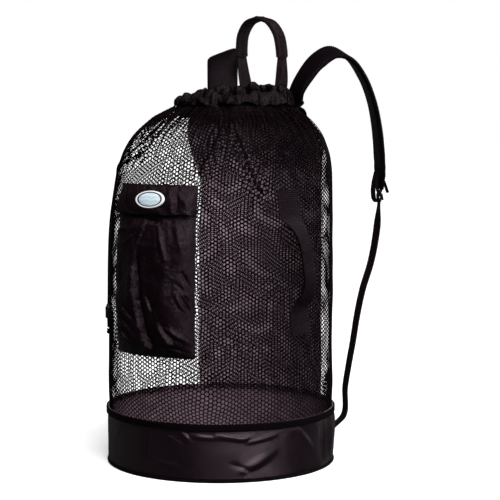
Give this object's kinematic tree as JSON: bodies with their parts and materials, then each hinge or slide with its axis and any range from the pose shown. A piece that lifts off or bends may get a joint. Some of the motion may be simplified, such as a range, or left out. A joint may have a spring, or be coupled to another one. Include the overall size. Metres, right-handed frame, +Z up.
{
  "type": "mesh dive gear bag",
  "caption": "Cylindrical net backpack for dive gear with a coated base, gathered collar, flap pocket, padded shoulder straps and two carrying handles.",
  "frame": {"origin": "centre of the round base's underside, on the floor", "axes": "+Z up along the bag, -Y towards the front with the pocket, +Y towards the back panel and straps"},
  "size_m": [0.4518, 0.5657, 0.8427],
  "materials": {
    "coated_nylon": "coated, slightly glossy black nylon",
    "binding_tape": "black woven binding tape",
    "net": "black knitted polyester net",
    "panel_nylon": "black nylon oxford cloth",
    "pocket_nylon": "glossy black nylon",
    "badge": "moulded oval badge, white rim, blue ring",
    "cord": "black braided cord",
    "plastic": "black moulded acetal",
    "strap_padding": "black nylon over foam",
    "webbing": "black woven webbing"
  },
  "bodies": {
    "root": {"base_disc": "coated_nylon", "base_piping": "binding_tape", "base_band": "coated_nylon", "band_binding": "binding_tape", "mesh_body": "net", "back_panel": "panel_nylon", "strap_yoke": "webbing", "collar": "panel_nylon", "pocket_pouch": "pocket_nylon", "pocket_flap": "pocket_nylon", "oval_badge": "badge", "pocket_cord_front": "cord", "pocket_cord_back": "cord", "cord_lock": "plastic", "cord_knot": "cord", "shoulder_strap_right": "strap_padding", "shoulder_strap_left": "strap_padding", "strap_buckle_right": "plastic", "strap_buckle_left": "plastic", "strap_webbing_right": "webbing", "strap_webbing_left": "webbing", "top_handle": "webbing", "handle_grip": "webbing", "side_handle": "webbing"}
  },
  "joints": []
}
